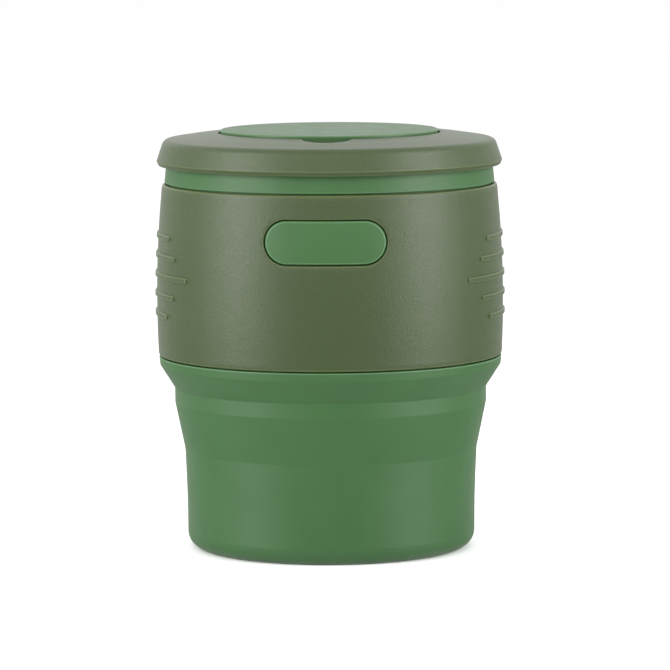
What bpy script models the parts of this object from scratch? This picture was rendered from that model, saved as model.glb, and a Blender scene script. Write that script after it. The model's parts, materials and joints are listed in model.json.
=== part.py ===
"""A collapsible travel cup: a folding silicone cup in a grip sleeve, under a press-on lid with a flip cap.

The frame has +Z up and its origin at the centre of the foot, on the table. The front, with the sleeve's
window and the lid's thumb notch, faces -Y, and the cap's hinge is at +Y. Sizes below are in millimetres.
"""

import math

import bmesh
import bpy
from mathutils import Matrix, Vector

MM = 0.001
MERGE = 0.00001  # metres
GAP = 0.3  # clearance between neighbouring pieces
SEGMENTS = 60  # facets round a turned piece
SMALL_SEGMENTS = 24  # facets round a pin or a hole
OVERSHOOT = 2.0  # how far a cutter runs past the face it opens
ROOT = 0.5  # how deep a joined-on shape is sunk into its neighbour

# Driving dimensions
SLEEVE_R = 45.0  # the sleeve at its widest
HEIGHT = 109.0  # from the table to the top of the flip cap
LID_R = 44.75  # the lid's rim at its widest

# Silicone cup, from the foot up
FOOT_R = 37.1
FOOT_ROUND = 4.2
FOOT_RECESS_R = 29.0
FOOT_RECESS = 1.0
BASE_WALL = 1.6
BASE_WAIST_Z = 14.0  # the base is a plain cylinder up to here, and widens above
BASE_WAIST_R = 37.2
BASE_TOP_R = 37.75
BASE_TOP_Z = 26.0
FLOOR_TOP_Z = 2.8
FLOOR_ROUND = 3.2
WEB_WALL = 1.0
WEB_STEP = 0.1  # how far a web's wide end stands back from its neighbour's face
MID_R = 40.4
MID_WALL = 1.5
MID_BOTTOM_Z = 38.1
MID_TOP_Z = 42.1
SHOULDER_R = 44.3
SHOULDER_BOTTOM_Z = 48.2
SHOULDER_TOP_R = 44.6
SHOULDER_TOP_Z = 50.25
UPPER_IN_R = 41.7  # inside of the wall at the shoulder
MOUTH_IN_R = 41.0  # inside of the wall at the lip
MOUTH_R = 42.6
MOUTH_TOP_Z = 104.6
BAND_R = 43.1  # the exposed band where it meets the sleeve

# Grip sleeve
SLEEVE_WALL = 1.3
SLEEVE_BOTTOM_Z = SHOULDER_TOP_Z + GAP
SLEEVE_TOP_Z = 95.0
SLEEVE_TOP_CHAMFER = 0.5
SLEEVE_INSIDE_Z = (53.5, 72.0)  # heights where the inside changes slope
WINDOW_Z = 83.3
WINDOW_LENGTH = 31.6
WINDOW_HEIGHT = 11.6
WINDOW_DEPTH = 10.0
BOSS_INSET = 0.1  # how far the boss lies below the sleeve's surface
RIB_Z = 71.6  # the middle rib
RIB_PITCH = 4.93
RIB_HEIGHT = 1.35
RIB_PROUD = 0.45
RIB_CHAMFER = 0.25
RIB_STEP = 6.0  # degrees of rib to a facet
RIB_HALF_ANGLES = (23.5, 28.0, 35.5, 28.0, 23.5)  # degrees either side of the X axis, top rib first

# Flip cap
CAP_R = 28.2
CAP_TOP_WALL = 1.5
CAP_SKIRT = 1.5
CAP_CHAMFER = 0.4
CAP_UNDERCUT = 0.4  # the cap's edge leans in this far towards its foot
CAP_UNDER_Z = HEIGHT - CAP_TOP_WALL

# Lid
LID_BOTTOM_Z = 99.6
LID_UNDER_Z = 103.9
RECESS_FLOOR_Z = 105.9
RECESS_FLARE = 0.5  # the recess widens upwards, so that the cap's edge clears it as it swings
CREST_Z = HEIGHT - 0.5  # the lid's top at the edge of the recess
SKIRT_IN_R = 43.05
CHANNEL_TOP_Z = MOUTH_TOP_Z + GAP
PLUG_R = 40.2
PLUG_IN_R = 38.4
PLUG_BOTTOM_Z = 96.0
GROOVE_R = 39.4
GROOVE_Z = (97.4, 100.8)
GASKET_R = MOUTH_IN_R - GAP
GASKET_LIP = 0.9
NOTCH_R = 5.7
NOTCH_FLOOR_Z = 106.5
SIP_Y = -19.5
SIP_LENGTH = 14.0
SIP_WIDTH = 7.0
VENT_Y = 13.0
VENT_R = 1.5
VENT_PAD_R = 3.2
SEAL_MARGIN = 1.7  # the sip seal reaches this far past the sip hole
COLLAR_WALL = 1.0
CAP_BOTTOM_Z = RECESS_FLOOR_Z + GAP
COLLAR_BOTTOM_Z = CAP_BOTTOM_Z + 0.6

# Hinge of the flip cap
HINGE_Y = 29.7
HINGE_Z = 106.6
PIN_R = 0.7
PIN_LENGTH = 18.0
BORE_R = PIN_R + GAP
BARREL_R = 1.6
BARREL_LENGTH = 14.0
TONGUE_FRONT_Y = 26.9
TONGUE_TOP_Z = 107.9
POCKET_FLOOR_Z = HINGE_Z - BARREL_R - GAP
POCKET_BACK_Y = 33.0

# Outlines as (radius, height, rounding) corners, from the top down
SLEEVE_OUTSIDE = (
    (SLEEVE_R - 1.4 - SLEEVE_TOP_CHAMFER, SLEEVE_TOP_Z, 0),
    (SLEEVE_R - 1.4, SLEEVE_TOP_Z - SLEEVE_TOP_CHAMFER, 0),
    (44.1, 89.3, 0),
    (44.6, 80.2, 0),
    (SLEEVE_R, 72.0, 0),
    (SLEEVE_R, 58.5, 0),
    (44.8, 53.0, 0),
)
LID_OUTSIDE = (
    (CAP_R + GAP + RECESS_FLARE, CREST_Z, 0),
    (43.2, 106.6, 2.0),
    (LID_R, 102.0, 1.5),
    (44.5, LID_BOTTOM_Z, 1.2),
    (SKIRT_IN_R, LID_BOTTOM_Z, 0),
)

# Name, colour, roughness and metallic value
SILICONE = ("silicone_green", (0.098, 0.208, 0.089), 0.55, 0.0)
OLIVE = ("olive_plastic", (0.117, 0.150, 0.080), 0.48, 0.0)
CAP_GREEN = ("green_plastic", (0.098, 0.208, 0.089), 0.45, 0.0)
STEEL = ("steel", (0.55, 0.55, 0.54), 0.30, 1.0)


def clear_scene():
    for obj in list(bpy.data.objects):
        bpy.data.objects.remove(obj, do_unlink=True)


def collection(name):
    made = bpy.data.collections.new(name)
    bpy.context.scene.collection.children.link(made)
    return made


def material(spec):
    name, colour, roughness, metallic = spec
    found = bpy.data.materials.get(name)
    if found:
        return found
    made = bpy.data.materials.new(name)
    made.use_nodes = True
    shader = made.node_tree.nodes["Principled BSDF"]
    shader.inputs["Base Color"].default_value = (*colour, 1.0)
    shader.inputs["Roughness"].default_value = roughness
    shader.inputs["Metallic"].default_value = metallic
    return made


def new_object(name, mesh, spec, group):
    """A part when it has a material, and otherwise a hidden helper that cuts or joins another."""
    obj = bpy.data.objects.new(name, mesh)
    group.objects.link(obj)
    if spec:
        mesh.materials.append(material(spec))
    else:
        obj.hide_render = True
        obj.display_type = "WIRE"
    return obj


def rounded(corners, steps=3):
    """An outline from (radius, height, rounding) corners. A rounding is an arc tangent to both its sides."""
    points = []
    for index, (radius, height, rounding) in enumerate(corners):
        corner = Vector((radius, height))
        if not rounding:
            points.append(corner)
            continue
        before = (Vector(corners[index - 1][:2]) - corner).normalized()
        after = (Vector(corners[index + 1][:2]) - corner).normalized()
        half = before.angle(after) / 2
        centre = corner + (before + after).normalized() * rounding / math.sin(half)
        reach = rounding / math.tan(half)
        start = corner + before * reach - centre
        end = corner + after * reach - centre
        turn = -start.angle_signed(end)
        points += [centre + Matrix.Rotation(turn * step / steps, 2) @ start for step in range(steps + 1)]
    return points


def sleeve_radius(z):
    """The sleeve's outer radius at height z."""
    for (high_r, high_z, _), (low_r, low_z, _) in zip(SLEEVE_OUTSIDE, SLEEVE_OUTSIDE[1:]):
        if low_z <= z <= high_z:
            return low_r + (high_r - low_r) * (z - low_z) / (high_z - low_z)
    return SLEEVE_OUTSIDE[0][0]


def sleeve_inside(z):
    return sleeve_radius(z) - SLEEVE_WALL


def turned(name, outline, spec, group, closed=True):
    """An outline turned about Z. It runs down its outer side, and is open only where it ends on the axis."""
    mesh = bpy.data.meshes.new(name)
    points = [(radius * MM, 0.0, height * MM) for radius, height in outline]
    count = len(points)
    edges = [(i, (i + 1) % count) for i in range(count if closed else count - 1)]
    mesh.from_pydata(points, edges, [])
    obj = new_object(name, mesh, spec, group)
    screw = obj.modifiers.new("turn", "SCREW")
    screw.axis = "Z"
    screw.angle = math.tau
    screw.steps = SEGMENTS
    screw.render_steps = SEGMENTS
    screw.use_merge_vertices = True
    screw.merge_threshold = MERGE
    screw.use_smooth_shade = True
    return obj


def from_bmesh(name, made, spec, group):
    bmesh.ops.recalc_face_normals(made, faces=made.faces)
    mesh = bpy.data.meshes.new(name)
    made.to_mesh(mesh)
    made.free()
    mesh.shade_smooth()
    mesh.set_sharp_from_angle(angle=math.radians(40))
    return new_object(name, mesh, spec, group)


def box(name, low, high, group):
    made = bmesh.new()
    size = [(b - a) * MM for a, b in zip(low, high)]
    middle = [(a + b) / 2 * MM for a, b in zip(low, high)]
    bmesh.ops.create_cube(made, size=1.0)
    bmesh.ops.scale(made, vec=size, verts=made.verts)
    bmesh.ops.translate(made, vec=middle, verts=made.verts)
    return from_bmesh(name, made, None, group)


def stadium(name, length, width, depth, middle, group, spec=None, upright=True):
    """A prism with full round ends, long in X. Its depth is along Z, or along Y when it isn't upright."""
    made = bmesh.new()
    bmesh.ops.create_cube(made, size=1.0)
    bmesh.ops.scale(made, vec=(length * MM, width * MM, depth * MM), verts=made.verts)
    corners = [e for e in made.edges if abs(e.verts[0].co.z - e.verts[1].co.z) > depth * MM / 2]
    bmesh.ops.bevel(made, geom=corners, offset=width * MM * 0.499, segments=8, profile=0.5, affect="EDGES")
    if not upright:
        bmesh.ops.rotate(made, matrix=Matrix.Rotation(math.pi / 2, 3, "X"), verts=made.verts)
    bmesh.ops.translate(made, vec=Vector(middle) * MM, verts=made.verts)
    return from_bmesh(name, made, spec, group)


def rod(name, radius, length, middle, group, spec=None, upright=True):
    """A cylinder along Z, or along X when it isn't upright."""
    made = bmesh.new()
    bmesh.ops.create_cone(
        made,
        cap_ends=True,
        segments=SMALL_SEGMENTS,
        radius1=radius * MM,
        radius2=radius * MM,
        depth=length * MM,
    )
    if not upright:
        bmesh.ops.rotate(made, matrix=Matrix.Rotation(math.pi / 2, 3, "Y"), verts=made.verts)
    bmesh.ops.translate(made, vec=Vector(middle) * MM, verts=made.verts)
    return from_bmesh(name, made, spec, group)


def combine(obj, operation, helper):
    """Cuts, joins or intersects obj with a helper."""
    step = obj.modifiers.new(helper.name, "BOOLEAN")
    step.operation = operation
    step.solver = "EXACT"
    step.object = helper


# The folding silicone cup


def base_cup(parts):
    """Runs from the floor's centre up the inside, over the rim, down the outside and under the foot."""
    floor_corner = (BASE_WAIST_R - BASE_WALL, FLOOR_TOP_Z, FLOOR_ROUND)
    inside = [(0.0, FLOOR_TOP_Z, 0), floor_corner, (BASE_TOP_R - BASE_WALL, BASE_TOP_Z, 0)]
    outside = [(BASE_TOP_R, BASE_TOP_Z, 0), (BASE_WAIST_R, BASE_WAIST_Z, 0), (FOOT_R, 0.0, FOOT_ROUND)]
    foot = [(FOOT_RECESS_R, 0.0, 0), (FOOT_RECESS_R - FOOT_RECESS, FOOT_RECESS, 0), (0.0, FOOT_RECESS, 0)]
    return turned("base_cup", rounded(inside + outside + foot, steps=4), SILICONE, parts, closed=False)


def fold_web(name, low, high, parts):
    """A thin cone that turns inside out when the cup folds. low and high are its outer (radius, height)."""
    (low_r, low_z), (high_r, high_z) = low, high
    outline = [(high_r, high_z), (low_r, low_z), (low_r - WEB_WALL, low_z), (high_r - WEB_WALL, high_z)]
    return turned(name, outline, SILICONE, parts)


def lower_fold_web(parts):
    low = (BASE_TOP_R, BASE_TOP_Z + GAP)
    high = (MID_R - WEB_STEP, MID_BOTTOM_Z - GAP)
    return fold_web("lower_fold_web", low, high, parts)


def upper_fold_web(parts):
    low = (MID_R, MID_TOP_Z + GAP)
    high = (SHOULDER_R - WEB_STEP, SHOULDER_BOTTOM_Z - GAP)
    return fold_web("upper_fold_web", low, high, parts)


def mid_ring(parts):
    inner_r = MID_R - MID_WALL
    outline = [(MID_R, MID_TOP_Z), (MID_R, MID_BOTTOM_Z), (inner_r, MID_BOTTOM_Z), (inner_r, MID_TOP_Z)]
    return turned("mid_ring", outline, SILICONE, parts)


def upper_wall(parts, helpers):
    """The wall inside the sleeve, with the shoulder below it, the band above it and the window's boss."""
    lip = [(MOUTH_IN_R, MOUTH_TOP_Z), (MOUTH_R, MOUTH_TOP_Z), (MOUTH_R, LID_BOTTOM_Z)]
    band_foot_z = SLEEVE_TOP_Z + GAP
    low, high = SLEEVE_INSIDE_Z
    behind = [(sleeve_inside(z) - GAP, z) for z in (band_foot_z, high, low)]
    shoulder = [
        (SHOULDER_TOP_R - SLEEVE_WALL - GAP, SHOULDER_TOP_Z),
        (SHOULDER_TOP_R, SHOULDER_TOP_Z),
        (SHOULDER_R, SHOULDER_BOTTOM_Z),
        (UPPER_IN_R, SHOULDER_BOTTOM_Z),
    ]
    wall = turned("upper_wall", [*lip, (BAND_R, band_foot_z), *behind, *shoulder], SILICONE, parts)

    top, bottom = WINDOW_Z + WINDOW_HEIGHT, WINDOW_Z - WINDOW_HEIGHT
    root_r = MOUTH_IN_R + ROOT
    skin = [(sleeve_radius(z) - BOSS_INSET, z) for z in (top, bottom)]
    ring = turned("boss_ring", [*skin, (root_r, bottom), (root_r, top)], None, helpers)
    length, height = WINDOW_LENGTH - 2 * GAP, WINDOW_HEIGHT - 2 * GAP
    middle = (0.0, -SLEEVE_R, WINDOW_Z)
    boss = stadium("window_boss", length, height, WINDOW_DEPTH, middle, helpers, upright=False)
    combine(boss, "INTERSECT", ring)
    combine(wall, "UNION", boss)
    return wall


# The grip sleeve


def rib(index, side, group):
    """One grip rib: a bar with chamfered edges, spun along the sleeve about Z."""
    z = RIB_Z + (2 - index) * RIB_PITCH
    half_angle = math.radians(RIB_HALF_ANGLES[index])
    root_r = sleeve_radius(z) - ROOT
    outer_r = sleeve_radius(z) + RIB_PROUD
    low, high = z - RIB_HEIGHT / 2, z + RIB_HEIGHT / 2
    section = [
        (root_r, low),
        (outer_r - RIB_CHAMFER, low),
        (outer_r, low + RIB_CHAMFER),
        (outer_r, high - RIB_CHAMFER),
        (outer_r - RIB_CHAMFER, high),
        (root_r, high),
    ]
    middle = 0.0 if side > 0 else math.pi
    start = Matrix.Rotation(middle - half_angle, 3, "Z")
    made = bmesh.new()
    corners = [made.verts.new(start @ Vector((radius, 0.0, height)) * MM) for radius, height in section]
    made.faces.new(corners)
    bmesh.ops.spin(
        made,
        geom=made.faces[:] + made.edges[:] + made.verts[:],
        cent=(0, 0, 0),
        axis=(0, 0, 1),
        angle=2 * half_angle,
        steps=2 * round(RIB_HALF_ANGLES[index] / RIB_STEP) + 1,
    )
    return from_bmesh(f"rib_{side:+d}_{index}", made, None, group)


def grip_sleeve(parts, helpers):
    foot_in_r = SHOULDER_TOP_R - SLEEVE_WALL
    bottom = [(SHOULDER_TOP_R, SLEEVE_BOTTOM_Z), (foot_in_r, SLEEVE_BOTTOM_Z)]
    inside = [(sleeve_inside(z), z) for z in (*SLEEVE_INSIDE_Z, SLEEVE_TOP_Z)]
    sleeve = turned("grip_sleeve", [*rounded(SLEEVE_OUTSIDE), *bottom, *inside], OLIVE, parts)
    middle = (0.0, -SLEEVE_R, WINDOW_Z)
    window = stadium("window", WINDOW_LENGTH, WINDOW_HEIGHT, WINDOW_DEPTH, middle, helpers, upright=False)
    combine(sleeve, "DIFFERENCE", window)
    for side in (1, -1):
        for index in range(len(RIB_HALF_ANGLES)):
            combine(sleeve, "UNION", rib(index, side, helpers))
    return sleeve


# The lid


def lid_shell(parts, helpers):
    """The lid's one moulding: recess for the cap, top, rim, channel for the mouth, plug and underside."""
    recess_r = CAP_R + GAP
    recess = [(0.0, RECESS_FLOOR_Z), (recess_r, RECESS_FLOOR_Z)]
    low, high = GROOVE_Z
    channel = [(SKIRT_IN_R, CHANNEL_TOP_Z), (PLUG_R, CHANNEL_TOP_Z), (PLUG_R, high)]
    plug = [(GROOVE_R, high), (GROOVE_R, low), (PLUG_R, low), (PLUG_R, PLUG_BOTTOM_Z)]
    under = [(PLUG_IN_R, PLUG_BOTTOM_Z), (PLUG_IN_R, LID_UNDER_Z), (0.0, LID_UNDER_Z)]
    outline = [*recess, *rounded(LID_OUTSIDE), *channel, *plug, *under]
    lid = turned("lid_shell", outline, OLIVE, parts, closed=False)

    top = HEIGHT + OVERSHOOT
    notch_z = (NOTCH_FLOOR_Z + top) / 2
    notch = rod("notch", NOTCH_R, top - NOTCH_FLOOR_Z, (0.0, -recess_r, notch_z), helpers)
    through = RECESS_FLOOR_Z - LID_UNDER_Z + 2 * OVERSHOOT
    floor_z = (RECESS_FLOOR_Z + LID_UNDER_Z) / 2
    sip = stadium("sip_hole", SIP_LENGTH, SIP_WIDTH, through, (0.0, SIP_Y, floor_z), helpers)
    vent = rod("vent_hole", VENT_R, through, (0.0, VENT_Y, floor_z), helpers)
    half = BARREL_LENGTH / 2 + GAP
    pocket = box("pocket", (-half, TONGUE_FRONT_Y - GAP, POCKET_FLOOR_Z), (half, POCKET_BACK_Y, top), helpers)
    hinge = (0.0, HINGE_Y, HINGE_Z)
    bore = rod("pin_bore", BORE_R, PIN_LENGTH + 2 * GAP, hinge, helpers, upright=False)
    for cutter in (notch, sip, vent, pocket, bore):
        combine(lid, "DIFFERENCE", cutter)
    return lid


def lid_gasket(parts):
    """The ring that seals the lid's plug against the mouth, with two lips."""
    low, high = GROOVE_Z[0] + GAP, GROOVE_Z[1] - GAP
    inner_r = GROOVE_R + GAP
    blunt_r = GASKET_R - 0.1
    outline = [
        (inner_r, high),
        (blunt_r, high),
        (GASKET_R, high - GASKET_LIP / 2),
        (PLUG_R, high - GASKET_LIP),
        (PLUG_R, low + GASKET_LIP),
        (GASKET_R, low + GASKET_LIP / 2),
        (blunt_r, low),
        (inner_r, low),
    ]
    return turned("lid_gasket", outline, SILICONE, parts)


def seal_size():
    """Length and width of the pad that closes the sip hole."""
    return SIP_LENGTH + 2 * SEAL_MARGIN, SIP_WIDTH + 2 * SEAL_MARGIN


def flip_cap(parts, helpers):
    """The round cap: a thin plate with a skirt, collars for its two seals, and a hinge barrel on a tongue."""
    outline = [
        (0.0, HEIGHT),
        (CAP_R - CAP_CHAMFER, HEIGHT),
        (CAP_R, HEIGHT - CAP_CHAMFER),
        (CAP_R, CAP_UNDER_Z),
        (CAP_R - CAP_UNDERCUT, CAP_BOTTOM_Z),
        (CAP_R - CAP_SKIRT, CAP_BOTTOM_Z),
        (CAP_R - CAP_SKIRT, CAP_UNDER_Z),
        (0.0, CAP_UNDER_Z),
    ]
    cap = turned("flip_cap", outline, CAP_GREEN, parts, closed=False)

    length, width = seal_size()
    grow = 2 * (GAP + COLLAR_WALL)
    height = CAP_UNDER_Z + ROOT - COLLAR_BOTTOM_Z
    sip = (0.0, SIP_Y, COLLAR_BOTTOM_Z + height / 2)
    vent = (0.0, VENT_Y, COLLAR_BOTTOM_Z + height / 2)
    combine(cap, "UNION", stadium("sip_collar", length + grow, width + grow, height, sip, helpers))
    combine(cap, "UNION", rod("vent_collar", VENT_PAD_R + grow / 2, height, vent, helpers))

    depth = CAP_UNDER_Z - COLLAR_BOTTOM_Z + OVERSHOOT
    sip = (0.0, SIP_Y, CAP_UNDER_Z - depth / 2)
    vent = (0.0, VENT_Y, CAP_UNDER_Z - depth / 2)
    clear = 2 * GAP
    combine(cap, "DIFFERENCE", stadium("sip_socket", length + clear, width + clear, depth, sip, helpers))
    combine(cap, "DIFFERENCE", rod("vent_socket", VENT_PAD_R + GAP, depth, vent, helpers))

    half = BARREL_LENGTH / 2
    hinge = (0.0, HINGE_Y, HINGE_Z)
    tongue = box("tongue", (-half, TONGUE_FRONT_Y, CAP_BOTTOM_Z), (half, HINGE_Y, TONGUE_TOP_Z), helpers)
    combine(cap, "UNION", tongue)
    combine(cap, "UNION", rod("barrel", BARREL_R, BARREL_LENGTH, hinge, helpers, upright=False))
    bore = rod("barrel_bore", BORE_R, BARREL_LENGTH + OVERSHOOT, hinge, helpers, upright=False)
    combine(cap, "DIFFERENCE", bore)
    return cap


def cap_seals(parts):
    """The two silicone pads under the cap that close the sip hole and the vent."""
    length, width = seal_size()
    depth = CAP_UNDER_Z - GAP - CAP_BOTTOM_Z
    middle_z = CAP_BOTTOM_Z + depth / 2
    sip = stadium("sip_seal", length, width, depth, (0.0, SIP_Y, middle_z), parts, SILICONE)
    vent = rod("vent_seal", VENT_PAD_R, depth, (0.0, VENT_Y, middle_z), parts, SILICONE)
    return sip, vent


def hinge_pin(parts):
    return rod("hinge_pin", PIN_R, PIN_LENGTH, (0.0, HINGE_Y, HINGE_Z), parts, STEEL, upright=False)


def hang_on_hinge(pieces, parts):
    """Parents the pieces that swing to an empty on the hinge's axis, and leaves them where they are."""
    hinge = bpy.data.objects.new("cap_hinge", None)
    hinge.location = Vector((0.0, HINGE_Y, HINGE_Z)) * MM
    hinge.empty_display_size = PIN_LENGTH * MM
    parts.objects.link(hinge)
    for piece in pieces:
        piece.parent = hinge
        piece.matrix_parent_inverse = Matrix.Translation(-hinge.location)


def main():
    clear_scene()
    parts = collection("collapsible_travel_cup")
    helpers = collection("cutters")
    base_cup(parts)
    lower_fold_web(parts)
    mid_ring(parts)
    upper_fold_web(parts)
    upper_wall(parts, helpers)
    grip_sleeve(parts, helpers)
    lid_shell(parts, helpers)
    lid_gasket(parts)
    cap = flip_cap(parts, helpers)
    hang_on_hinge((cap, *cap_seals(parts)), parts)
    hinge_pin(parts)


main()
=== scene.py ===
import json
import math

import bmesh
import bpy
from mathutils import Matrix, Vector


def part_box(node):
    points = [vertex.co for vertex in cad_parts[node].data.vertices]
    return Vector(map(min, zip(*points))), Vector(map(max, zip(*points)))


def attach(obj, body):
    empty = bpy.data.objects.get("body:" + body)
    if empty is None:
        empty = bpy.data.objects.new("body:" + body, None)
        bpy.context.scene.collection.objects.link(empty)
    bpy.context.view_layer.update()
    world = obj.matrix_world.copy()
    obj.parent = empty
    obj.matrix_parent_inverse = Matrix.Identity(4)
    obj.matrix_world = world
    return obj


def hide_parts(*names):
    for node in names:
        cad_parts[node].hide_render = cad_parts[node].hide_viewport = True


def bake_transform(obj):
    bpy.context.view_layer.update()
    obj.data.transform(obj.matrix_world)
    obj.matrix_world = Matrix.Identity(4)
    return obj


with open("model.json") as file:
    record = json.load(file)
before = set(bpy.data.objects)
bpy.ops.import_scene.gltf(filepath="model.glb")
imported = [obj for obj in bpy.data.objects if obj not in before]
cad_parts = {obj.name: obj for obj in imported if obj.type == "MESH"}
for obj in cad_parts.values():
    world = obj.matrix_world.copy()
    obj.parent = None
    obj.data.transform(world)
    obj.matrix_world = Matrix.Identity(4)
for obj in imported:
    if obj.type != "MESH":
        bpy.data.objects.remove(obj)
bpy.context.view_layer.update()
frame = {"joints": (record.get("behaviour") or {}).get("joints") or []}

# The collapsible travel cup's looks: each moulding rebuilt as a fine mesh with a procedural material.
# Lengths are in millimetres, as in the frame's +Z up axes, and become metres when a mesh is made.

MM = 0.001  # metres
WELD = 1e-7  # metres; closer points are one point
SLIVER = 2e-6  # metres; shorter edges are left over from a cut
SEGMENTS = 240  # facets round a large turned piece
FINE = 1.2  # longest profile step on a stretch that folds
SHARP = math.radians(35)  # faces that meet at more than this keep a hard edge
GAP = 0.3  # between neighbours that touch


def span(node):
    """The lowest and highest corner of a CAD node, in millimetres."""
    low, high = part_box(node)
    return low / MM, high / MM


# Sizes read from the frame

_, base_high = span("base_cup")
ring_low, ring_high = span("mid_ring")
wall_low, wall_high = span("upper_wall")
sleeve_low, sleeve_high = span("grip_sleeve")
lid_low, lid_high = span("lid_shell")
cap_low, cap_high = span("flip_cap")
gasket_low, gasket_high = span("lid_gasket")
sip_low, sip_high = span("sip_seal")
vent_low, vent_high = span("vent_seal")
pin_low, pin_high = span("hinge_pin")
joints = {joint["name"]: joint for joint in frame["joints"]}

BASE_TOP_R = base_high.x + 0.3  # the wall flares a little into the fold above it
BASE_TOP_Z = base_high.z
RING_R = ring_high.x + 0.15  # the ring swells a little between the folds
RING_BOTTOM_Z = ring_low.z
RING_TOP_Z = ring_high.z
SHOULDER_R = wall_high.x
SHOULDER_BOTTOM_Z = wall_low.z
MOUTH_TOP_Z = wall_high.z
SLEEVE_R = sleeve_high.y
SLEEVE_BOTTOM_Z = sleeve_low.z
SLEEVE_TOP_Z = sleeve_high.z
LID_R = lid_high.x
PLUG_BOTTOM_Z = lid_low.z
CREST_Z = lid_high.z
CAP_R = -cap_low.y
CAP_TOP_Z = cap_high.z
CAP_UNDER_Z = CAP_TOP_Z - 1.5  # the underside of the disc
CAP_BOTTOM_Z = sip_low.z  # the foot of the skirt
HINGE = Vector(joints["cap_hinge"]["pos_m"]) / MM
PIN_R = (pin_high.z - pin_low.z) / 2
PIN_LENGTH = pin_high.x - pin_low.x
SIP_MIDDLE = (sip_low + sip_high) / 2
VENT_MIDDLE = (vent_low + vent_high) / 2

# Wall thicknesses and details that the frame's boxes don't give

BASE_WALL = 1.6
WEB_WALL = 1.0
RING_WALL = 1.5
FOOT_ROUND = 4.2
FOOT_RECESS_R = 29.0
FOOT_RECESS = 1.0
FLOOR_TOP_Z = 2.8
WAIST_R = BASE_TOP_R - 0.55
FOOT_R = WAIST_R - 0.1
WAIST_Z = 14.0
WAIST_ROUND = 350.0  # a bend too slow to see as a line
UPPER_IN_R = 41.7
MOUTH_IN_R = 41.0
MOUTH_R = 42.6
BAND_R = 43.1
SLEEVE_WALL = 1.3
SLEEVE_INSIDE_Z = (85.0, 72.0, 60.0, 53.5)  # corners of the sleeve's inner face and the wall behind it
SHOULDER_TOP_Z = SHOULDER_BOTTOM_Z + 2.05
LID_BOTTOM_Z = 99.6
SKIRT_IN_R = 43.05
CHANNEL_TOP_Z = MOUTH_TOP_Z + GAP
PLUG_R = 40.2
PLUG_IN_R = 38.4
GROOVE_R = PLUG_R - 0.8
LID_UNDER_Z = 103.9
RECESS_FLOOR_Z = CAP_BOTTOM_Z - GAP
WINDOW_Z = 83.1
WINDOW_HALF_LENGTH = 15.6
WINDOW_HALF_HEIGHT = 5.8
BOSS_GAP = 0.34
BOSS_SINK = 0.15  # how far the boss's rim lies below the sleeve's face
BARREL_R = 1.6
BARREL_HALF = 7.0
NOTCH_R = 5.5
NOTCH_FLOOR_Z = 106.5
SIP_HALF_LENGTH = 7.0
SIP_HALF_WIDTH = 3.5
VENT_R = 1.5
RIB_Z = 71.9
RIB_PITCH = 5.03
RIB_HALF_ANGLES = (24.4, 29.4, 37.2, 28.8, 23.5)  # degrees either side of the X axis, top rib first


# Mesh helpers


def rounded(corners, steps=6):
    """An outline from (radius, height, rounding) corners. A rounding is an arc tangent to both its sides."""
    points = []
    for index, (radius, height, rounding) in enumerate(corners):
        corner = Vector((radius, height))
        if not rounding:
            points.append(corner)
            continue
        before = (Vector(corners[index - 1][:2]) - corner).normalized()
        after = (Vector(corners[(index + 1) % len(corners)][:2]) - corner).normalized()
        half = before.angle(after) / 2
        centre = corner + (before + after).normalized() * rounding / math.sin(half)
        reach = rounding / math.tan(half)
        start = corner + before * reach - centre
        end = corner + after * reach - centre
        turn = -start.angle_signed(end)
        points += [centre + Matrix.Rotation(turn * step / steps, 2) @ start for step in range(steps + 1)]
    return points


def refined(points, longest, closed):
    """The same outline with no step longer than longest, and a point close to each end of a long stretch."""
    hold = 0.2
    long_stretch = 5 * hold
    result = []
    ends = points[1:] + points[:1] if closed else points[1:]
    for start, end in zip(points, ends):
        length = (end - start).length
        result.append(start)
        if length > long_stretch:
            pieces = max(1, math.ceil((length - 2 * hold) / longest))
            shares = [(hold + (length - 2 * hold) * i / pieces) / length for i in range(pieces + 1)]
            result += [start.lerp(end, share) for share in shares]
    if not closed:
        result.append(points[-1])
    return result


def shade(mesh):
    mesh.shade_smooth()
    mesh.set_sharp_from_angle(angle=SHARP)


def finish_mesh(name, made):
    """Turns a bmesh into an object, with its faces pointing out."""
    bmesh.ops.remove_doubles(made, verts=made.verts, dist=WELD)
    bmesh.ops.recalc_face_normals(made, faces=made.faces)
    mesh = bpy.data.meshes.new(name)
    made.to_mesh(mesh)
    made.free()
    shade(mesh)
    piece = bpy.data.objects.new(name, mesh)
    bpy.context.scene.collection.objects.link(piece)
    return piece


def lathe(name, outline, closed=True, segments=SEGMENTS, centre=(0.0, 0.0), longest=3.0):
    """An outline of (radius, height) points turned about an upright axis. An open one ends on the axis."""
    outline = refined([Vector(p) for p in outline], longest, closed)
    made = bmesh.new()
    rings = []
    for radius, height in outline:
        if not radius:
            rings.append([made.verts.new((centre[0] * MM, centre[1] * MM, height * MM))] * segments)
            continue
        ring = []
        for i in range(segments):
            angle = math.tau * i / segments
            x = centre[0] + radius * math.cos(angle)
            y = centre[1] + radius * math.sin(angle)
            ring.append(made.verts.new((x * MM, y * MM, height * MM)))
        rings.append(ring)
    following = rings[1:] + rings[:1] if closed else rings[1:]
    for upper, lower in zip(rings, following):
        for i in range(segments):
            j = (i + 1) % segments
            corners = []
            for vert in (upper[i], upper[j], lower[j], lower[i]):
                if vert not in corners:
                    corners.append(vert)
            if len(corners) > 2:
                made.faces.new(corners)
    return finish_mesh(name, made)


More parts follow.
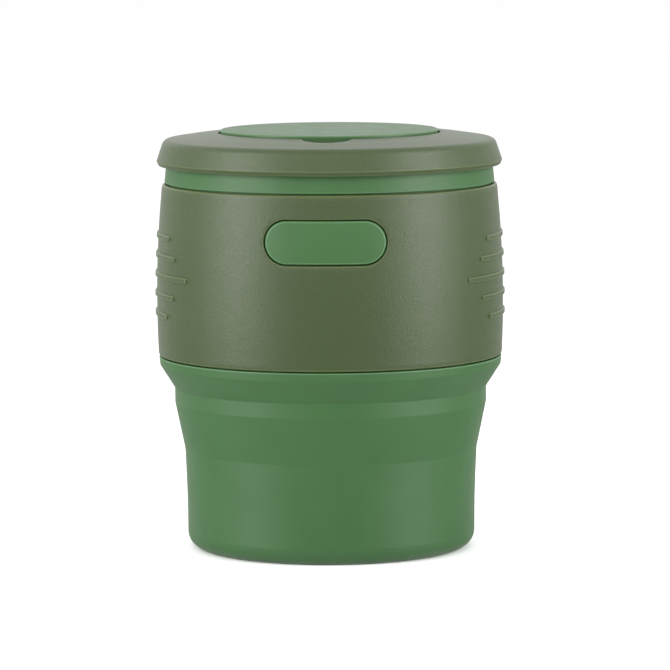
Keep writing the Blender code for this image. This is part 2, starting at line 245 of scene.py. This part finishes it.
def slab_columns(half_length, half_height, corner, arc_steps, side_steps):
    """Half-heights along a rounded rectangle, as (place along it, half-height) from one end to the other."""
    corner = min(corner, half_height)
    quarter = []
    for i in range(arc_steps + 1):
        turn = math.pi / 2 * i / arc_steps
        along = half_length - corner * (1 - math.sin(turn))
        quarter.append((along, half_height - corner * (1 - math.cos(turn))))
    left = [(-u, h) for u, h in reversed(quarter)]
    start, end = left[-1][0], quarter[0][0]
    middle = [(start + (end - start) * i / side_steps, half_height) for i in range(1, side_steps)]
    return left + middle + quarter


def relief(name, rows, place, arc_steps, side_steps):
    """A closed form lofted through rounded rectangles. rows hold (half-length, half-height, corner, depth),
    and place turns (along, up, depth) into a point in millimetres."""
    made = bmesh.new()
    loops = []
    for half_length, half_height, corner, depth in rows:
        columns = slab_columns(half_length, half_height, corner, arc_steps, side_steps)
        top = [made.verts.new(place(u, h, depth) * MM) for u, h in columns]
        bottom = [made.verts.new(place(u, -h, depth) * MM) for u, h in columns]
        loops.append(top + bottom[::-1])
    count = len(loops[0])
    for a, b in zip(loops, loops[1:]):
        for i in range(count):
            j = (i + 1) % count
            made.faces.new((a[i], a[j], b[j], b[i]))
    for loop in (loops[0], loops[-1]):
        for i in range(count // 2 - 1):
            made.faces.new((loop[i], loop[i + 1], loop[count - 2 - i], loop[count - 1 - i]))
    return finish_mesh(name, made)


def combine(piece, operation, tools):
    """Cuts or joins a piece with other meshes, which are used up."""
    for tool in tools:
        step = piece.modifiers.new("combine", "BOOLEAN")
        step.operation = operation
        step.solver = "EXACT"
        step.object = tool
    bpy.context.view_layer.update()
    evaluated = piece.evaluated_get(bpy.context.evaluated_depsgraph_get())
    mesh = bpy.data.meshes.new_from_object(evaluated)
    made = bmesh.new()
    made.from_mesh(mesh)
    bmesh.ops.dissolve_degenerate(made, edges=made.edges, dist=SLIVER)
    made.to_mesh(mesh)
    made.free()
    piece.modifiers.clear()
    piece.data = mesh
    shade(mesh)
    for tool in tools:
        bpy.data.objects.remove(tool, do_unlink=True)


def mark_edges(piece, skip):
    """Stores in the mesh how tightly it curves outwards at each point, from 0 to 1 on a small rounding, as
    the mask for a painted highlight on rounded edges.
    Points for which skip is true stay at 0."""
    least_width = 0.02
    flat_enough, tight = 0.8, 1.4  # radians a millimetre
    made = bmesh.new()
    made.from_mesh(piece.data)
    values = [0.0] * len(made.verts)
    for edge in made.edges:
        if len(edge.link_faces) != 2:
            continue
        one, other = edge.link_faces
        width = (one.calc_center_median() - other.calc_center_median()).length / MM
        curvature = edge.calc_face_angle_signed(0.0) / max(width, least_width)
        value = min(1.0, (curvature - flat_enough) / (tight - flat_enough))
        for vertex in edge.verts:
            values[vertex.index] = max(values[vertex.index], value)
    for vertex in made.verts:
        if skip and skip(vertex.co / MM):
            values[vertex.index] = 0.0
    made.free()
    mark = piece.data.attributes.new("edge", "FLOAT", "POINT")
    mark.data.foreach_set("value", values)


# Materials


def ramp_between(tree, source, low, high, low_value, high_value):
    """A map of source, from low to high, onto low_value to high_value, held outside."""
    node = tree.nodes.new("ShaderNodeMapRange")
    node.inputs["From Min"].default_value = low
    node.inputs["From Max"].default_value = high
    node.inputs["To Min"].default_value = low_value
    node.inputs["To Max"].default_value = high_value
    tree.links.new(source, node.inputs["Value"])
    return node.outputs["Result"]


class Nodes:
    """A material's node tree, with short calls for the nodes used here."""

    def __init__(self, name):
        self.material = bpy.data.materials.new(name)
        self.material.use_nodes = True
        self.tree = self.material.node_tree
        self.shader = self.tree.nodes["Principled BSDF"]
        self.place = self.tree.nodes.new("ShaderNodeTexCoord").outputs["Object"]

    def link(self, source, target):
        self.tree.links.new(source, target)

    def noise(self, size_mm, detail=2.0, roughness=0.5):
        """Noise from 0 to 1 whose blobs are about size_mm across."""
        node = self.tree.nodes.new("ShaderNodeTexNoise")
        node.inputs["Scale"].default_value = 1 / (size_mm * MM)
        node.inputs["Detail"].default_value = detail
        node.inputs["Roughness"].default_value = roughness
        self.link(self.place, node.inputs["Vector"])
        return node.outputs["Fac"]

    def ramp(self, source, low, high, low_value, high_value):
        return ramp_between(self.tree, source, low, high, low_value, high_value)

    def mix(self, factor, first, second):
        """A colour from first to second as factor goes from 0 to 1. Each is a colour or a socket."""
        node = self.tree.nodes.new("ShaderNodeMix")
        node.data_type = "RGBA"
        self.link(factor, node.inputs["Factor"])
        for value, socket in ((first, "A"), (second, "B")):
            target = [s for s in node.inputs if s.name == socket and s.type == "RGBA"][0]
            if isinstance(value, tuple):
                target.default_value = (*value, 1.0)
            else:
                self.link(value, target)
        return [s for s in node.outputs if s.type == "RGBA"][0]

    def edge(self, strength):
        """How much of a rounded edge a point is on, up to strength: the mask for a painted highlight."""
        node = self.tree.nodes.new("ShaderNodeAttribute")
        node.attribute_name = "edge"
        return self.ramp(node.outputs["Fac"], 0.0, 1.0, 0.0, strength)

    def bump(self, height, distance_mm, normal=None):
        """A normal for relief distance_mm deep, on top of another normal if one is given."""
        node = self.tree.nodes.new("ShaderNodeBump")
        node.inputs["Distance"].default_value = distance_mm * MM
        self.link(height, node.inputs["Height"])
        if normal:
            self.link(normal, node.inputs["Normal"])
        return node.outputs["Normal"]

    def set(self, **values):
        """Sets the shader's own sockets, named with underscores for spaces."""
        for name, value in values.items():
            self.shader.inputs[name.replace("_", " ")].default_value = value


def silicone_material(name, colour, shade):
    """A satin green moulding: even colour with faint flow clouds, pale dust specks and a painted highlight on
    rounded edges, dulled in patches, and a fine soft skin.
    """
    nodes = Nodes(name)
    clouds = nodes.noise(size_mm=14.0, detail=3.0)
    patches = nodes.noise(size_mm=6.0, detail=4.0)
    waves = nodes.noise(size_mm=9.0)
    skin = nodes.noise(size_mm=0.5, detail=3.0)
    dust = nodes.noise(size_mm=0.25, detail=1.0)
    # A paler green, for the pale dust specks and for the painted highlight on rounded edges.
    pale_dust_and_highlight = tuple(1.6 * share + 0.03 for share in colour)
    tint = nodes.mix(nodes.ramp(clouds, 0.35, 0.65, 0.0, 1.0), colour, shade)
    tint = nodes.mix(nodes.ramp(dust, 0.68, 0.78, 0.0, 0.12), tint, pale_dust_and_highlight)
    # Painted highlight: rounded edges are lightened towards the paler green.
    tint = nodes.mix(nodes.edge(0.6), tint, pale_dust_and_highlight)
    nodes.link(tint, nodes.shader.inputs["Base Color"])
    nodes.link(nodes.ramp(patches, 0.3, 0.7, 0.49, 0.55), nodes.shader.inputs["Roughness"])
    nodes.set(Specular_IOR_Level=0.36)
    relief_normal = nodes.bump(skin, distance_mm=0.012, normal=nodes.bump(waves, distance_mm=0.008))
    nodes.link(relief_normal, nodes.shader.inputs["Normal"])
    return nodes.material


def grained_material(name, colour, dark, light):
    """Spark-eroded plastic: a fine raised grain, its peaks worn lighter and its pits darker, and a painted
    highlight on its rounded edges.
    """
    nodes = Nodes(name)
    grain = nodes.noise(size_mm=0.36, roughness=0.6)
    coarse = nodes.noise(size_mm=0.9)
    clouds = nodes.noise(size_mm=20.0)
    # A paler olive for the painted highlight on rounded edges.
    edge_highlight = (2.1 * colour[0], 1.8 * colour[1], 1.9 * colour[2])
    tint = nodes.mix(nodes.ramp(grain, 0.36, 0.64, 0.0, 1.0), dark, colour)
    tint = nodes.mix(nodes.ramp(grain, 0.6, 0.76, 0.0, 0.6), tint, light)
    tint = nodes.mix(nodes.ramp(clouds, 0.3, 0.7, 0.0, 0.25), tint, dark)
    # Painted highlight: rounded edges are lightened towards the paler olive.
    tint = nodes.mix(nodes.edge(0.7), tint, edge_highlight)
    nodes.link(tint, nodes.shader.inputs["Base Color"])
    nodes.link(nodes.ramp(grain, 0.35, 0.7, 0.5, 0.4), nodes.shader.inputs["Roughness"])
    nodes.set(Specular_IOR_Level=0.4)
    relief_normal = nodes.bump(grain, distance_mm=0.07, normal=nodes.bump(coarse, distance_mm=0.015))
    nodes.link(relief_normal, nodes.shader.inputs["Normal"])
    return nodes.material


def steel_material(name):
    """Drawn steel wire: bright, with faint scuffs."""
    nodes = Nodes(name)
    scuffs = nodes.noise(size_mm=0.3, detail=3.0)
    drawing_marks = nodes.noise(size_mm=0.15)
    nodes.set(Base_Color=(0.55, 0.55, 0.54, 1.0), Metallic=1.0)
    nodes.link(nodes.ramp(scuffs, 0.3, 0.7, 0.22, 0.38), nodes.shader.inputs["Roughness"])
    nodes.link(nodes.bump(drawing_marks, distance_mm=0.004), nodes.shader.inputs["Normal"])
    return nodes.material


SILICONE = silicone_material("silicone", colour=(0.0272, 0.0838, 0.0232), shade=(0.0253, 0.0790, 0.0214))
CAP_GREEN = silicone_material("cap_green", colour=(0.034, 0.087, 0.0285), shade=(0.032, 0.082, 0.0265))
OLIVE = grained_material(
    "olive",
    colour=(0.0337, 0.0528, 0.0158),
    dark=(0.0291, 0.0462, 0.0135),
    light=(0.0437, 0.0648, 0.0226),
)
STEEL = steel_material("pin_steel")


def dress(piece, material, slot, body, *nodes, skip=None):
    """Gives a piece its material. It rides on its body, if it has one, in place of CAD nodes. The slot
    argument is not used.
    """
    # Marks the rounded edges, where the materials paint a highlight.
    mark_edges(piece, skip)
    piece.data.materials.clear()
    piece.data.materials.append(material)
    if body:
        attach(piece, body)
    if nodes:
        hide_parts(*nodes)


# The silicone cup


def sleeve_outline():
    """The sleeve's outer face from the top down, as (radius, height, rounding) corners."""
    return (
        (SLEEVE_R - 1.65, SLEEVE_TOP_Z, 0.7),
        (44.05, 89.3, 0),
        (44.6, 80.2, 0),
        (SLEEVE_R, 72.0, 0),
        (SLEEVE_R, 58.5, 0),
        (44.8, 53.0, 0),
        (SHOULDER_R, SLEEVE_BOTTOM_Z, 0.6),
    )


def sleeve_radius(z):
    """The radius at height z on the straight stretches between the sleeve's corners."""
    corners = [(radius, height) for radius, height, _ in sleeve_outline()]
    for (high_r, high_z), (low_r, low_z) in zip(corners, corners[1:]):
        if low_z <= z <= high_z:
            return low_r + (high_r - low_r) * (z - low_z) / (high_z - low_z)
    return corners[0][0] if z > corners[0][1] else corners[-1][0]


def barrel_radius(z):
    """The sleeve's outer radius at height z: sleeve_radius averaged 5 mm up and down, a smooth barrel."""
    heights = [min(max(z + offset, SLEEVE_BOTTOM_Z), SLEEVE_TOP_Z) for offset in range(-5, 6)]
    return sum(sleeve_radius(height) for height in heights) / len(heights)


def below_lip(place):
    """True on the folds and the base, whose edges get no painted highlight."""
    return place.z < SHOULDER_BOTTOM_Z + 1


def lower_cup():
    """Foot, base and lower fold, with a tongue at its top edge that hides in the ring above."""
    tongue_in_r = RING_R - 0.9
    tongue_out_r = RING_R - 0.5
    tongue_foot_z = RING_BOTTOM_Z + 0.4
    tongue_top_z = RING_BOTTOM_Z + 1.6
    inside = [
        (0.0, FLOOR_TOP_Z, 0),
        (WAIST_R - BASE_WALL, FLOOR_TOP_Z, 3.2),
        (BASE_TOP_R - BASE_WALL, BASE_TOP_Z - 0.8, 3.0),
        (RING_R - 0.1 - WEB_WALL, RING_BOTTOM_Z - 0.2, 0),
    ]
    tongue = [
        (tongue_in_r, tongue_foot_z, 0),
        (tongue_in_r, tongue_top_z, 0),
        (tongue_out_r, tongue_top_z, 0),
        (tongue_out_r, tongue_foot_z, 0),
    ]
    outside = [
        (RING_R, RING_BOTTOM_Z + 0.02, 0.03),
        (BASE_TOP_R, BASE_TOP_Z, 3.0),
        (WAIST_R, WAIST_Z, WAIST_ROUND),
        (FOOT_R, 0.0, FOOT_ROUND),
    ]
    foot = [
        (FOOT_RECESS_R, 0.0, 0.4),
        (FOOT_RECESS_R - FOOT_RECESS, FOOT_RECESS, 0.5),
        (0.0, FOOT_RECESS, 0),
    ]
    piece = lathe("cup_lower", rounded(inside + tongue + outside + foot), closed=False, longest=FINE)
    dress(piece, SILICONE, "silicone", None, "base_cup", "lower_fold_web", skip=below_lip)
    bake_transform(piece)


def upper_cup():
    """Ring, upper fold, shoulder, the wall behind the sleeve, band and lip, in one skin."""
    band_foot_z = SLEEVE_TOP_Z + GAP
    hidden_z = (band_foot_z, *SLEEVE_INSIDE_Z)
    hidden = [(barrel_radius(z) - SLEEVE_WALL - GAP, z, 0) for z in hidden_z]
    outline = [
        (MOUTH_IN_R, MOUTH_TOP_Z, 0.5),
        (MOUTH_R, MOUTH_TOP_Z, 0.5),
        (MOUTH_R - 0.2, LID_BOTTOM_Z, 0),
        (BAND_R - 0.25, band_foot_z, 0.3),
        *hidden,
        (SHOULDER_R - SLEEVE_WALL - GAP, SHOULDER_TOP_Z, 0),
        (SHOULDER_R, SHOULDER_TOP_Z, 0.3),
        (SHOULDER_R - 0.25, SHOULDER_BOTTOM_Z - 0.2, 0.6),
        (RING_R, RING_TOP_Z - 0.1, 0.2),
        (RING_R, RING_BOTTOM_Z, 0.04),
        (RING_R - RING_WALL, RING_BOTTOM_Z, 0.25),
        (RING_R - RING_WALL, RING_TOP_Z + 0.4, 0.6),
        (UPPER_IN_R, SHOULDER_BOTTOM_Z, 1.2),
    ]
    piece = lathe("cup_upper", rounded(outline), longest=FINE)
    dress(piece, SILICONE, "silicone", None, "mid_ring", "upper_fold_web", "upper_wall", skip=below_lip)
    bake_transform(piece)


def on_front(u, up, depth):
    """A point on the sleeve's front, u across it, up from the window's middle and depth out from the face."""
    z = WINDOW_Z + up
    radius = barrel_radius(z) + depth
    return Vector((u, -math.sqrt(radius * radius - u * u), z))


def window_rows(shrink, depths):
    """Rows of the window's outline, shrink in from its edge at each depth."""
    rows = []
    for inset, depth in zip(shrink, depths):
        half_height = WINDOW_HALF_HEIGHT - inset
        rows.append((WINDOW_HALF_LENGTH - inset, half_height, half_height, depth))
    return rows


def window_boss():
    """The silicone pad that stands in the sleeve's window, with a rounded edge and a faint crown."""
    root_depth = -3.0
    edge_r = 0.5
    edge_steps = 6
    crown = 0.1
    shrink = [BOSS_GAP, BOSS_GAP]
    depths = [root_depth, -BOSS_SINK - edge_r]
    for i in range(1, edge_steps + 1):
        turn = math.pi / 2 * i / edge_steps
        shrink.append(BOSS_GAP + edge_r * (1 - math.cos(turn)))
        depths.append(-BOSS_SINK - edge_r * (1 - math.sin(turn)))
    for share in (0.03, 0.3, 0.5, 0.7, 0.85, 0.97):
        shrink.append(BOSS_GAP + edge_r + (WINDOW_HALF_HEIGHT - BOSS_GAP - edge_r) * share)
        depths.append(crown * share * (2 - share) - BOSS_SINK)
    piece = relief("window_boss", window_rows(shrink, depths), on_front, arc_steps=14, side_steps=30)
    dress(piece, SILICONE, "silicone", "upper")


def rib(index, side):
    """A grip rib: a low bar with rounded edges and ends, wrapped round the sleeve's flank."""
    middle = len(RIB_HALF_ANGLES) // 2
    z = RIB_Z + (middle - index) * RIB_PITCH
    half_length = math.radians(RIB_HALF_ANGLES[index]) * barrel_radius(z)
    azimuth = 0.0 if side > 0 else math.pi
    proud = 0.45
    half_height = 0.72
    edge_r = 0.27
    edge_steps = 5
    root = 0.12  # how much wider the buried part is

    def place(u, up, depth):
        angle = azimuth + u / barrel_radius(z)
        radius = barrel_radius(z + up) + depth
        return Vector((radius * math.cos(angle), radius * math.sin(angle), z + up))

    rows = [(half_length + root, half_height + root, 0.5, depth) for depth in (-0.6, -0.05)]
    for i in range(edge_steps + 1):
        turn = math.pi / 2 * i / edge_steps
        inset = edge_r * (1 - math.cos(turn))
        rows.append((half_length - inset, half_height - inset, 0.45, proud - edge_r * (1 - math.sin(turn))))
    flat_inset = edge_r + 0.08
    rows.append((half_length - flat_inset, half_height - flat_inset, 0.2, proud))
    return relief(f"rib_{index}_{side}", rows, place, arc_steps=5, side_steps=40)


def grip_sleeve():
    """The rigid sleeve with its window and ribs."""
    corners = sleeve_outline()
    top_corner, bottom_corner = corners[0], corners[-1]
    first_z = SLEEVE_TOP_Z - 1.2
    last_z = SLEEVE_BOTTOM_Z + 0.8
    step = 1.5
    heights = [first_z - i * step for i in range(math.ceil((first_z - last_z) / step))]
    face = [(barrel_radius(z), z, 0) for z in heights]
    inner_face = [(barrel_radius(z) - SLEEVE_WALL, z, 0) for z in reversed(SLEEVE_INSIDE_Z)]
    outline = [
        top_corner,
        *face,
        bottom_corner,
        (SHOULDER_R - SLEEVE_WALL, SLEEVE_BOTTOM_Z, 0.2),
        *inner_face,
        (top_corner[0] - SLEEVE_WALL + 0.05, SLEEVE_TOP_Z, 0.2),
    ]
    piece = lathe("sleeve", rounded(outline), longest=1.6)
    flare = [-1.2, -1.2, -0.42, -0.2, -0.06, 0.0, 0.0]  # the window's rounded edge, from outside inwards
    depths = [3.0, 0.4, 0.0, -0.06, -0.2, -0.42, -4.0]
    cutter = relief("window_cutter", window_rows(flare, depths), on_front, arc_steps=16, side_steps=30)
    combine(piece, "DIFFERENCE", [cutter])
    ribs = [rib(index, side) for index in range(len(RIB_HALF_ANGLES)) for side in (1, -1)]
    combine(piece, "UNION", ribs)

    def beside_window(place):
        """True on the face round the window, outside its rounded edge."""
        across = abs(place.x) < WINDOW_HALF_LENGTH + 2.4
        up = abs(place.z - WINDOW_Z) < WINDOW_HALF_HEIGHT + 2.2
        on_face = math.hypot(place.x, place.y) > barrel_radius(place.z) - 0.03
        return across and up and place.y < 0 and on_face

    dress(piece, OLIVE, "olive_plastic", "upper", "grip_sleeve", skip=beside_window)


# The lid


def flat_place(middle, up):
    """A mapping for relief() that lies flat at a middle point, with depth measured upwards from height up."""

    def place(u, v, depth):
        return Vector((middle[0] + u, middle[1] + v, up + depth))

    return place


def lid():
    """The lid's moulding: recess, top, rim, channel, plug and underside, with its holes cut through."""
    groove_low, groove_high = gasket_low.z - GAP, gasket_high.z + GAP
    outline = [
        (0.0, RECESS_FLOOR_Z, 0),
        (CAP_R + GAP, RECESS_FLOOR_Z, 0.25),
        (CAP_R + 0.62, CREST_Z - 0.3, 0.25),
        (36.0, CREST_Z - 1.05, 12.0),
        (43.0, 106.4, 2.0),
        (LID_R + 0.1, 100.95, 0.4),
        (44.35, LID_BOTTOM_Z + 0.25, 0.35),
        (SKIRT_IN_R, LID_BOTTOM_Z + 0.15, 0.2),
        (SKIRT_IN_R, CHANNEL_TOP_Z, 0.3),
        (PLUG_R, CHANNEL_TOP_Z, 0.2),
        (PLUG_R, groove_high, 0),
        (GROOVE_R, groove_high, 0),
        (GROOVE_R, groove_low, 0),
        (PLUG_R, groove_low, 0),
        (PLUG_R, PLUG_BOTTOM_Z, 0.5),
        (PLUG_IN_R, PLUG_BOTTOM_Z, 0.5),
        (PLUG_IN_R, LID_UNDER_Z, 1.0),
        (0.0, LID_UNDER_Z, 0),
    ]
    piece = lathe("lid", rounded(outline), closed=False, longest=2.5)
    bore = rod("bore", PIN_R + GAP, PIN_LENGTH / 2 + GAP, HINGE)
    combine(piece, "DIFFERENCE", [notch_cutter(), sip_cutter(), vent_cutter(), pocket_cutter(), bore])
    dress(piece, OLIVE, "olive_plastic", "lid", "lid_shell")


def notch_cutter():
    """The half-round thumb notch in front of the flip cap, flared at its top."""
    over_z = CAP_TOP_Z + 1.0
    outline = [
        (0.0, over_z, 0),
        (NOTCH_R + 3.0, over_z, 0),
        (NOTCH_R + 0.45, NOTCH_FLOOR_Z + 1.25, 0.6),
        (NOTCH_R, NOTCH_FLOOR_Z + 0.8, 0.4),
        (NOTCH_R, NOTCH_FLOOR_Z, 0.3),
        (0.0, NOTCH_FLOOR_Z, 0),
    ]
    return lathe("notch", rounded(outline), closed=False, segments=96, centre=(0.0, -CAP_R - GAP))


def sip_cutter():
    """The sip hole, with a flared edge."""
    place = flat_place((SIP_MIDDLE.x, SIP_MIDDLE.y), RECESS_FLOOR_Z)
    rows = []
    for flare, depth in ((1.0, 1.0), (0.35, 0.05), (0.0, -0.3), (0.0, -4.0)):
        half_width = SIP_HALF_WIDTH + flare
        rows.append((SIP_HALF_LENGTH + flare, half_width, half_width, depth))
    return relief("sip", rows, place, arc_steps=16, side_steps=4)


def vent_cutter():
    """The vent, with a countersunk edge."""
    over_z, under_z = 108.0, 102.0
    outline = [
        (0.0, over_z, 0),
        (VENT_R + 0.5, over_z, 0),
        (VENT_R, RECESS_FLOOR_Z - GAP, 0.2),
        (VENT_R, under_z, 0),
        (0.0, under_z, 0),
    ]
    return lathe("vent", rounded(outline), closed=False, segments=48, centre=(0.0, VENT_MIDDLE.y))


def pocket_cutter():
    """The pocket that the flip cap's hinge turns in."""
    half_length = BARREL_HALF + GAP
    front, back = HINGE.y - 3.1, HINGE.y + 3.3
    half_depth = (back - front) / 2
    rows = [
        (half_length + 0.5, half_depth + 0.5, 0.5, 3.5),
        (half_length + 0.25, half_depth + 0.25, 0.4, 1.75),
        (half_length, half_depth, 0.3, 1.45),
        (half_length, half_depth, 0.3, -1.9),
    ]
    place = flat_place((0.0, (front + back) / 2), HINGE.z)
    return relief("pocket", rows, place, arc_steps=4, side_steps=2)


def rod(name, radius, half_length, middle, chamfer=0.0, segments=48):
    """A round bar along X with chamfered ends."""
    made = bmesh.new()
    stations = [
        (-half_length, radius - chamfer),
        (-half_length + chamfer, radius),
        (half_length - chamfer, radius),
        (half_length, radius - chamfer),
    ]
    rings = []
    for along, ring_r in stations if chamfer else (stations[0], stations[-1]):
        ring = []
        for i in range(segments):
            angle = math.tau * i / segments
            offset = Vector((along, ring_r * math.cos(angle), ring_r * math.sin(angle)))
            ring.append(made.verts.new((Vector(middle) + offset) * MM))
        rings.append(ring)
    for a, b in zip(rings, rings[1:]):
        for i in range(segments):
            j = (i + 1) % segments
            made.faces.new((a[i], a[j], b[j], b[i]))
    made.faces.new(rings[0])
    made.faces.new(rings[-1])
    return finish_mesh(name, made)


def gasket():
    """The seal ring on the lid's plug, with two soft lips."""
    low, high = gasket_low.z, gasket_high.z
    lip_r = gasket_high.x
    inner_r = GROOVE_R + GAP
    outline = [
        (inner_r, high, 0.1),
        (lip_r, high, 0.3),
        (lip_r - 0.05, high - 0.85, 0.3),
        (PLUG_R, high - 1.05, 0.2),
        (PLUG_R, low + 1.05, 0.2),
        (lip_r - 0.05, low + 0.85, 0.3),
        (lip_r, low, 0.3),
        (inner_r, low, 0.1),
    ]
    piece = lathe("gasket_ring", rounded(outline, steps=4))
    dress(piece, SILICONE, "silicone", "lid", "lid_gasket")


def cap():
    """The flip cap: a crowned disc with a skirt, seal collars, tongue and hinge barrel."""
    skirt_in_r = CAP_R - 1.5
    outline = [
        (0.0, CAP_TOP_Z, 0),
        (CAP_R - 6.0, CAP_TOP_Z - 0.02, 0),
        (CAP_R, CAP_TOP_Z - 0.08, 0.35),
        (CAP_R, CAP_UNDER_Z, 0),
        (CAP_R - 0.4, CAP_BOTTOM_Z, 0.25),
        (skirt_in_r, CAP_BOTTOM_Z, 0.25),
        (skirt_in_r, CAP_UNDER_Z, 0.5),
        (0.0, CAP_UNDER_Z, 0),
    ]
    piece = lathe("cap", rounded(outline), closed=False, longest=2.5)
    joins = []
    cuts = []
    for name, middle, low, high in (
        ("sip", SIP_MIDDLE, sip_low, sip_high),
        ("vent", VENT_MIDDLE, vent_low, vent_high),
    ):
        place = flat_place((middle.x, middle.y), CAP_UNDER_Z)
        joins.append(seal_collar(name, low, high, place))
        cuts.append(seal_socket(name, low, high, place))
    joins += [hinge_tongue(), rod("barrel", BARREL_R, BARREL_HALF, HINGE, chamfer=0.2)]
    cuts.append(rod("barrel_bore", PIN_R + GAP, BARREL_HALF + 1.0, HINGE))
    combine(piece, "UNION", joins)
    combine(piece, "DIFFERENCE", cuts)
    dress(piece, CAP_GREEN, "green_plastic", "cap", "flip_cap")


def seal_collar(name, low, high, place):
    """The wall round a seal under the cap, with a chamfered foot."""
    margin = GAP + 1.0
    half_length = (high.x - low.x) / 2 + margin
    half_width = (high.y - low.y) / 2 + margin
    foot = CAP_BOTTOM_Z + 0.6 - CAP_UNDER_Z
    rows = [
        (half_length, half_width, half_width, 0.5),
        (half_length, half_width, half_width, foot + 0.2),
        (half_length - 0.2, half_width - 0.2, half_width - 0.2, foot),
    ]
    return relief(name + "_collar", rows, place, arc_steps=16, side_steps=4)


def seal_socket(name, low, high, place):
    """The space inside a collar that its seal stands in."""
    half_length = (high.x - low.x) / 2 + GAP
    half_width = (high.y - low.y) / 2 + GAP
    rows = [(half_length, half_width, half_width, depth) for depth in (0.0, -2.0)]
    return relief(name + "_socket", rows, place, arc_steps=16, side_steps=4)


def hinge_tongue():
    """The strip that joins the cap's disc to its barrel, a little narrower than the barrel."""
    half_length = BARREL_HALF - GAP
    front, back = HINGE.y - 2.8, HINGE.y
    half_depth = (back - front) / 2
    rows = [
        (half_length - 0.2, half_depth, 0.1, 1.3),
        (half_length, half_depth, 0.1, 1.1),
        (half_length, half_depth, 0.1, -0.4),
    ]
    return relief("tongue", rows, flat_place((0.0, (front + back) / 2), HINGE.z), arc_steps=3, side_steps=2)


def seals():
    """The two pads that close the sip hole and the vent."""
    for name, node, middle, low, high in (
        ("sip_pad", "sip_seal", SIP_MIDDLE, sip_low, sip_high),
        ("vent_pad", "vent_seal", VENT_MIDDLE, vent_low, vent_high),
    ):
        half_length = (high.x - low.x) / 2
        half_width = (high.y - low.y) / 2
        tall = high.z - low.z
        rows = []
        for inset, depth in ((0.1, tall), (0.0, tall - 0.1), (0.0, 0.25), (0.08, 0.1), (0.25, 0.0)):
            rows.append((half_length - inset, half_width - inset, half_width - inset, depth))
        piece = relief(name, rows, flat_place((middle.x, middle.y), low.z), arc_steps=16, side_steps=4)
        dress(piece, SILICONE, "silicone", "cap", node)


def hinge_pin():
    """The steel pin through the lid and the flip cap's barrel."""
    piece = rod("pin", PIN_R, PIN_LENGTH / 2, HINGE, chamfer=0.15)
    dress(piece, STEEL, "steel", "lid", "hinge_pin")


# The studio


def floor():
    """A wide matte white table, which the cup's gloss doesn't mirror."""
    half_width = 9.0
    made = bmesh.new()
    bmesh.ops.create_grid(made, x_segments=1, y_segments=1, size=half_width)
    piece = finish_mesh("floor", made)
    nodes = Nodes("floor_white")
    nodes.set(Base_Color=(0.96, 0.96, 0.96, 1.0), Roughness=0.9, Specular_IOR_Level=0.1)
    piece.data.materials.append(nodes.material)
    piece.visible_glossy = False


def softbox(name, azimuth, distance, height, width, tall, power):
    """A soft panel light facing the cup, azimuth degrees right of its front. Metres and watts."""
    light = bpy.data.lights.new(name, "AREA")
    light.shape = "RECTANGLE"
    light.size = width
    light.size_y = tall
    light.energy = power
    lamp = bpy.data.objects.new(name, light)
    bpy.context.scene.collection.objects.link(lamp)
    turn = math.radians(azimuth)
    lamp.location = (distance * math.sin(turn), -distance * math.cos(turn), height)
    cup_middle = Vector((0, 0, 0.06))
    lamp.rotation_euler = (cup_middle - lamp.location).to_track_quat("-Z", "Y").to_euler()


def surroundings():
    """A white room, bright behind and above, dim in front, with the lit table's light from below."""
    bright_side = (-0.1, 0.66, 0.74)
    world = bpy.data.worlds.new("studio")
    world.use_nodes = True
    tree = world.node_tree
    direction = tree.nodes.new("ShaderNodeTexCoord").outputs["Generated"]
    towards = tree.nodes.new("ShaderNodeVectorMath")
    towards.operation = "DOT_PRODUCT"
    towards.inputs[1].default_value = bright_side
    tree.links.new(direction, towards.inputs[0])
    height = tree.nodes.new("ShaderNodeSeparateXYZ")
    tree.links.new(direction, height.inputs["Vector"])
    room = ramp_between(tree, towards.outputs["Value"], -0.15, 0.9, 0.06, 1.6)
    table = ramp_between(tree, height.outputs["Z"], -0.25, -0.6, 0.0, 0.9)
    brightness = tree.nodes.new("ShaderNodeMath")
    brightness.operation = "MAXIMUM"
    tree.links.new(room, brightness.inputs[0])
    tree.links.new(table, brightness.inputs[1])
    background = tree.nodes["Background"]
    background.inputs["Color"].default_value = (1.0, 1.0, 1.0, 1.0)
    tree.links.new(brightness.outputs["Value"], background.inputs["Strength"])
    bpy.context.scene.world = world


def studio():
    """The table, a panel each side of the front and one above it, and the room."""
    floor()
    softbox("left_panel", azimuth=-61, distance=0.9, height=0.25, width=0.5, tall=0.8, power=13.0)
    softbox("right_panel", azimuth=67, distance=0.9, height=0.25, width=0.5, tall=0.8, power=13.0)
    softbox("front_top_panel", azimuth=0, distance=1.1, height=0.62, width=1.0, tall=0.55, power=4.9)
    surroundings()
    bpy.context.scene.view_settings.view_transform = "Standard"


def camera():
    """A long lens a little above the cup's top, just right of its front. Lengths in metres."""
    distance = 1.2039
    height = 0.18742
    azimuth = math.radians(1.46)
    pitch = math.radians(6.271)
    roll = math.radians(-0.31)
    yaw = azimuth + math.radians(-0.058)
    lens = bpy.data.cameras.new("camera")
    lens.lens = 249.76
    lens.sensor_width = 36.0
    lens.clip_start = 0.05
    lens.clip_end = 50.0
    view = bpy.data.objects.new("camera", lens)
    bpy.context.scene.collection.objects.link(view)
    turn = Matrix.Rotation(yaw, 4, "Z") @ Matrix.Rotation(math.pi / 2 - pitch, 4, "X")
    turn = turn @ Matrix.Rotation(roll, 4, "Z")
    place = Matrix.Translation((distance * math.sin(azimuth), -distance * math.cos(azimuth), height))
    view.matrix_world = place @ turn
    bpy.context.scene.camera = view


camera()
lower_cup()
upper_cup()
window_boss()
grip_sleeve()
lid()
gasket()
cap()
seals()
hinge_pin()
studio()
